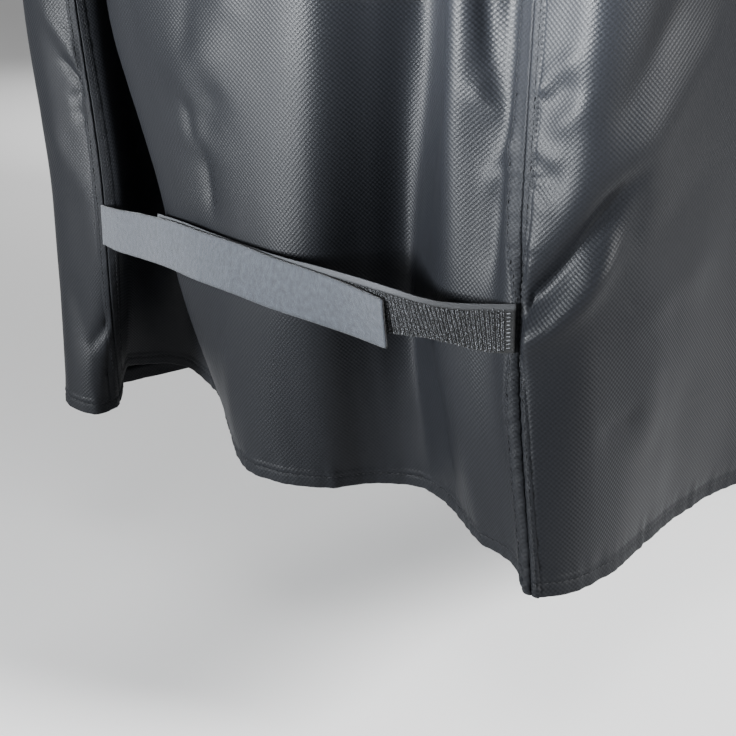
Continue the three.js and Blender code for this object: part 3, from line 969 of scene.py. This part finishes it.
def make_top(finish):
    """The top panel, crowned between its edges, which turn down into the seams round it."""
    half_x = WIDTH / 2
    half_y = DEPTH / 2
    x = top_marks(half_x)
    y = -top_marks(half_y)
    grid_x, grid_y = np.meshgrid(x, y)
    middle = np.stack([grid_x, grid_y, top_height(grid_x, grid_y)], -1)
    for at_end, side in enumerate((-1.0, 1.0)):
        middle, x = turn_down(middle, x, at_end, np.array([side, 0, 0]))
    middle = np.swapaxes(middle, 0, 1)
    for at_end, side in enumerate((1.0, -1.0)):
        middle, y = turn_down(middle, y, at_end, np.array([0, side, 0]))
    middle = np.swapaxes(middle, 0, 1)
    cloth = np.stack(np.meshgrid(x, y), -1)
    inside = np.minimum(half_x - np.abs(cloth[..., 0]), half_y - np.abs(cloth[..., 1]))
    return sheet_mesh("top_cloth", middle, cloth, CLOTH, finish, band_inside(BAND, inside))


def turn_down(middle, places, at_end, face):
    """One edge of the top, along its columns, turned down into its seam."""
    edge_row = middle[:, -1] if at_end else middle[:, 0]
    mitre = unit(face + UP)
    edge = edge_row + face * SEAM_TURN
    flap = turned_edge(edge, np.broadcast_to(-face, edge.shape), np.broadcast_to(mitre, edge.shape), edge_row)
    flap = np.moveaxis(flap, 0, 1)
    way = 1 if at_end else -1
    step = np.sign(places[-1] - places[0]) * way
    new = (places[-1] if at_end else places[0]) + step * (SEAM_TURN + TURN_PLACES)
    if at_end:
        return np.concatenate([middle, flap[:, ::-1]], axis=1), np.concatenate([places, new[::-1]])
    return np.concatenate([flap, middle], axis=1), np.concatenate([new, places])


# Strap

def tape_line(table):
    """Middle, upwards and outwards direction, half width and length so far, along a tape."""
    rows = [dict(zip(TAPE_COLUMNS, row)) for row in table]
    points = [[STRAP_PLANE + row["in"], row["y"], STRAP_HEIGHT + row["height"]] for row in rows]
    line = round_curve(points)
    number = np.linspace(0, len(rows) - 1, len(line))
    tilts = [row["tilt"] for row in rows]
    widths = [STRAP_PINCHED_WIDTH, STRAP_EASED_WIDTH] + [STRAP_WIDTH] * (len(rows) - 2)
    extra = np.stack([np.interp(number, range(len(rows)), column) for column in (tilts, widths)], -1)
    shares = np.linspace(0, 1, TAPE_CELLS + 1)
    middle = at_shares(line, line, shares)
    tilt, width = np.moveaxis(at_shares(line, extra, shares), -1, 0)
    along = np.gradient(middle, axis=0)
    along[:, 2] = 0
    along = unit(along)
    out = np.stack([along[:, 1], -along[:, 0], np.zeros(len(along))], -1)
    out = np.where(out[:, :1] > 0, -out, out)
    angle = np.radians(tilt)[:, None]
    up = UP * np.cos(angle) - out * np.sin(angle)
    face = out * np.cos(angle) + UP * np.sin(angle)
    return middle, up, face, width / 2, line_lengths(middle)


def make_tape(name, table, side, thickness, finish):
    middle, up, face, half, length = tape_line(table)
    across = np.concatenate([[1, 0.985], np.linspace(0.94, -0.94, 15), [-0.985, -1]])
    grid = middle[None] + up[None] * half[None, :, None] * across[:, None, None]
    grid = grid + face[None] * side * TAPE_SPACING / 2
    cloth = np.stack(np.broadcast_arrays(length[None, :], across[:, None] * STRAP_WIDTH / 2), -1)
    if table[0][1] < table[-1][1]:
        grid, cloth = grid[:, ::-1], cloth[:, ::-1]
    return sheet_mesh(name, grid, cloth, thickness, finish)


# Stitches and hooks: each is modelled once, in mm, and copied along its rows into one mesh

def model_stitch():
    """A plump stitch along X that rises in its middle, its ends in the cloth."""
    bpy.ops.object.select_all(action="DESELECT")
    bpy.ops.mesh.primitive_uv_sphere_add(segments=5, ring_count=4, radius=0.5)
    bpy.ops.object.mode_set(mode="EDIT")
    bpy.ops.transform.rotate(value=math.pi / 2, orient_axis="Y", center_override=(0, 0, 0))
    size = (STITCH_LENGTH, STITCH_THICKNESS, STITCH_THICKNESS)
    bpy.ops.transform.resize(value=size, center_override=(0, 0, 0))
    return taken_shape()


def model_hook():
    """A stem along Z that bends over along X and ends in a short point."""
    bpy.ops.object.select_all(action="DESELECT")
    bpy.ops.mesh.primitive_plane_add(size=HOOK_STEM)
    bpy.ops.object.mode_set(mode="EDIT")
    for step in ((0, 0, 0.6), (0.12, 0, 0.25), (0.34, 0, 0.1), (0.24, 0, -0.26)):
        move = {"value": tuple(HOOK_HEIGHT * v for v in step)}
        bpy.ops.mesh.extrude_region_move(TRANSFORM_OT_translate=move)
    bpy.ops.mesh.select_all(action="SELECT")
    bpy.ops.mesh.normals_make_consistent(inside=False)
    return taken_shape()


def taken_shape():
    """Points and faces of the object just modelled, which is then removed."""
    shape = bpy.context.object
    bpy.ops.object.mode_set(mode="OBJECT")
    bpy.ops.object.transform_apply(location=True, rotation=True, scale=True)
    points = np.array([vertex.co[:] for vertex in shape.data.vertices])
    faces = [list(face.vertices) for face in shape.data.polygons]
    bpy.data.objects.remove(shape, do_unlink=True)
    return points, faces


def joined_copies(name, shape, places, along, up, finish):
    """Copies of a shape, with its X along and its Z up at each place, joined in one piece."""
    points, faces = shape
    up = unit(up)
    along = unit(along - (along * up).sum(-1, keepdims=True) * up)
    beside = np.cross(up, along)
    frames = np.stack([along, beside, up], 1)
    copies = places[:, None] + points @ frames
    faces = [[point + len(points) * k for point in face] for k in range(len(places)) for face in faces]
    return new_piece(name, copies.reshape(-1, 3), faces, finish)


def on_face(wall, across, heights):
    """Points of a wall's outer face at places in its cloth."""
    columns, lines, face = wall["columns"], wall["lines"], wall["face"]
    i = np.clip(np.searchsorted(columns, across) - 1, 0, len(columns) - 2)
    j = np.clip(np.searchsorted(-lines, -heights) - 1, 0, len(lines) - 2)
    u = ((across - columns[i]) / (columns[i + 1] - columns[i]))[:, None]
    v = ((heights - lines[j]) / (lines[j + 1] - lines[j]))[:, None]
    upper = face[j, i] * (1 - u) + face[j, i + 1] * u
    lower = face[j + 1, i] * (1 - u) + face[j + 1, i + 1] * u
    return upper * (1 - v) + lower * v


def stitch_rows(name):
    """Places in the cloth of a wall's stitches: down both of its bands and along its hem."""
    length = WALLS[name]["length"]
    down = np.arange(TOP_EDGE_HEIGHT - 8, HEM_HEIGHT + 5, -STITCH_PITCH)
    rows = []
    for at_end in (False, True):
        beside = band_width(name, at_end, down) - STITCH_INSET
        rows.append((length - beside if at_end else beside, down, np.array([0, -1.0])))
    along = np.arange(6, length - 5, STITCH_PITCH)
    rows.append((along, np.full(len(along), HEM_HEIGHT + HEM_STITCH), np.array([1.0, 0])))
    return rows


def sew_wall(name, shape, finish):
    wall = WALLS[name]
    places, ways, ups = [], [], []
    for across, heights, way in stitch_rows(name):
        step = way * STITCH_LENGTH / 2
        start, end = (on_face(wall, across + side * step[0], heights + side * step[1]) for side in (-1, 1))
        left, right = (on_face(wall, across + side * 0.5, heights) for side in (-1, 1))
        above, below = (on_face(wall, across, heights - side * 0.5) for side in (-1, 1))
        places.append((start + end) / 2)
        ways.append(end - start)
        ups.append(np.cross(below - above, right - left))
    places, ways, ups = (np.concatenate(part) for part in (places, ways, ups))
    return joined_copies(name + "_stitches", shape, places + unit(ups) * STITCH_LIFT, ways, ups, finish)


def sew_top(shape, finish):
    """Stitches round the top, as far inside its edges as its band's."""
    inset = BAND - STITCH_INSET
    half_x, half_y = WIDTH / 2 - inset, DEPTH / 2 - inset
    x = np.arange(-half_x + 2, half_x, STITCH_PITCH)
    y = np.arange(-half_y + 2, half_y, STITCH_PITCH)
    plan = [np.stack([x, np.full(len(x), side * half_y)], -1) for side in (-1, 1)]
    plan += [np.stack([np.full(len(y), side * half_x), y], -1) for side in (-1, 1)]
    ways = np.concatenate([np.tile([1.0, 0, 0], (2 * len(x), 1)), np.tile([0, 1.0, 0], (2 * len(y), 1))])
    plan = np.concatenate(plan)
    places = np.column_stack([plan, top_height(plan[:, 0], plan[:, 1]) + CLOTH / 2 + STITCH_LIFT])
    return joined_copies("top_stitches", shape, places, ways, np.tile(UP, (len(plan), 1)), finish)


def at_length(along, length, parts):
    """A tape's middle or directions at a length along it."""
    return [np.array([np.interp(along, length, part[:, k]) for k in range(3)]) for part in parts]


def sew_strap(shape, finish):
    """Stitches across the hook tape where it goes into the corner seam."""
    middle, up, face, _, length = tape_line(HOOK_TAPE)
    centre, upwards, outwards = at_length(STRAP_SEWN, length, (middle, up, face))
    reach = STRAP_PINCHED_WIDTH / 2
    across = np.arange(-reach + 3, reach - 4, STRAP_STITCH_PITCH)[:, None]
    inwards = TAPE_SPACING / 2 - HOOK_GROUND / 2 - STITCH_THICKNESS / 4
    places = centre - outwards * inwards + upwards * across
    ways = np.tile(np.cross(upwards, outwards) + upwards * 0.3, (len(places), 1))
    return joined_copies("strap_stitches", shape, places, ways, np.tile(outwards, (len(places), 1)), finish)


def tape_hooks(finish):
    """Rows of small hooks on the outer face of the hook tape, every other row bent the other way."""
    middle, up, face, half, length = tape_line(HOOK_TAPE)
    draw = np.random.default_rng(41)
    places, ways, ups = [], [], []
    rows = np.arange(STRAP_SEWN + 3, length[-1] - 2, HOOK_PITCH)
    for number, along in enumerate(np.concatenate([rows, rows + HOOK_PAIR])):
        centre, upwards, outwards = at_length(along, length, (middle, up, face))
        reach = np.interp(along, length, half)
        along_tape = np.cross(upwards, outwards)
        bend = upwards * (1 if number < len(rows) else -1)
        ground = centre - outwards * (TAPE_SPACING / 2 - HOOK_GROUND / 2)
        for across in np.arange(-reach + HOOK_FOOT, reach - HOOK_RIM, HOOK_SPACING):
            stray = draw.uniform(-HOOK_STRAY, HOOK_STRAY, 3)
            places.append(ground + upwards * (across + stray[0]) + along_tape * stray[1] * 0.6)
            ways.append(bend + along_tape * stray[2])
            ups.append(outwards + upwards * stray[0] * 0.5)
    return joined_copies("tape_hooks", model_hook(), np.array(places), np.array(ways), np.array(ups), finish)


def put_on_cover(sheet, node, sewn=()):
    """A sheet of the cover in place of its solid, with the stitches or hooks that are sewn to it."""
    for piece in (sheet, *sewn):
        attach(piece, "root")
    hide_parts(node)


def main():
    add_camera()
    add_floor()
    light_studio()
    weave = coated_weave()
    thread = thread_finish("sewing_thread", THREAD_COLOUR)
    stitch = model_stitch()
    for name, wall in WALLS.items():
        panel = make_wall(name, weave)
        sewn = [sew_wall(name, stitch, thread)]
        put_on_cover(panel, name + "_panel", sewn)
    top = make_top(weave)
    put_on_cover(top, "top_panel", sewn=[sew_top(stitch, thread)])
    loop = make_tape("loop_tape", LOOP_TAPE, 1, LOOP_THICKNESS, loop_pile())
    put_on_cover(loop, "loop_strap")
    hook = make_tape("hook_tape", HOOK_TAPE, -1, HOOK_GROUND, hook_ground())
    sewn = [tape_hooks(hook_nylon()), sew_strap(stitch, thread_finish("strap_thread", STRAP_THREAD_COLOUR))]
    put_on_cover(hook, "hook_strap", sewn)


main()
